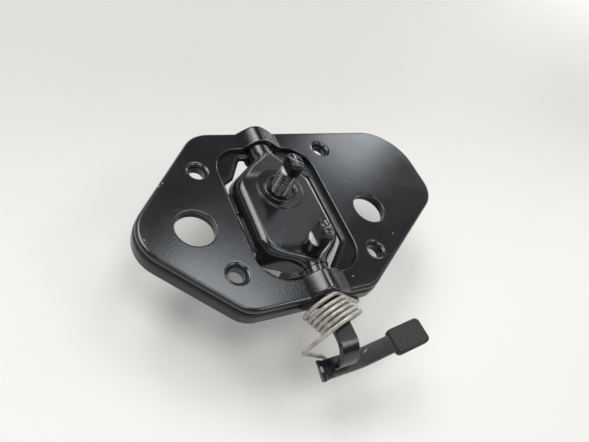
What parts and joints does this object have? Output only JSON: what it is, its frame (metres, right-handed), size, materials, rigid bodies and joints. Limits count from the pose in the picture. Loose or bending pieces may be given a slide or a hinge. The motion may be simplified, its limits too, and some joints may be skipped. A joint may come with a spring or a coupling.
{
  "type": "bonnet latch",
  "caption": "Bonnet latch with two pressed steel plates, a sprung domed rocker carrying a threaded striker pin and safety hook, and a finger release lever.",
  "frame": {"origin": "midway between the two mounting holes, on the upper face of the cover plate", "axes": "+X through the mounting holes towards the long wing, +Y away from the lever, +Z out of the cover plate along the pins"},
  "size_m": [0.1447, 0.1068, 0.0583],
  "materials": {
    "coated_steel": "semi-gloss black electrocoat on pressed steel",
    "coated_pin": "semi-gloss black electrocoat, worn at the tips",
    "zinc_steel": "zinc-plated, dull",
    "grip_plastic": "matt moulded plastic",
    "spring_wire": "coated spring wire, satin"
  },
  "bodies": {
    "housing": {"cover_plate": "coated_steel", "base_tray": "coated_steel", "return_spring": "spring_wire"},
    "rocker": {"rocker": "coated_steel", "striker_pin": "coated_pin", "weld_nut": "coated_pin", "lock_nut": "zinc_steel", "safety_hook": "coated_pin", "lever": "coated_steel", "finger_grip": "grip_plastic"}
  },
  "joints": [
    {"name": "rocker_swing", "type": "hinge", "parent": "housing", "child": "rocker", "pos_m": [0, 0, -0.002], "axis": [0, -1, 0], "range_deg": [0, 12], "stiffness_Nm_per_rad": 0.3, "springref_deg": -28.65, "deforming": ["return_spring"]}
  ]
}
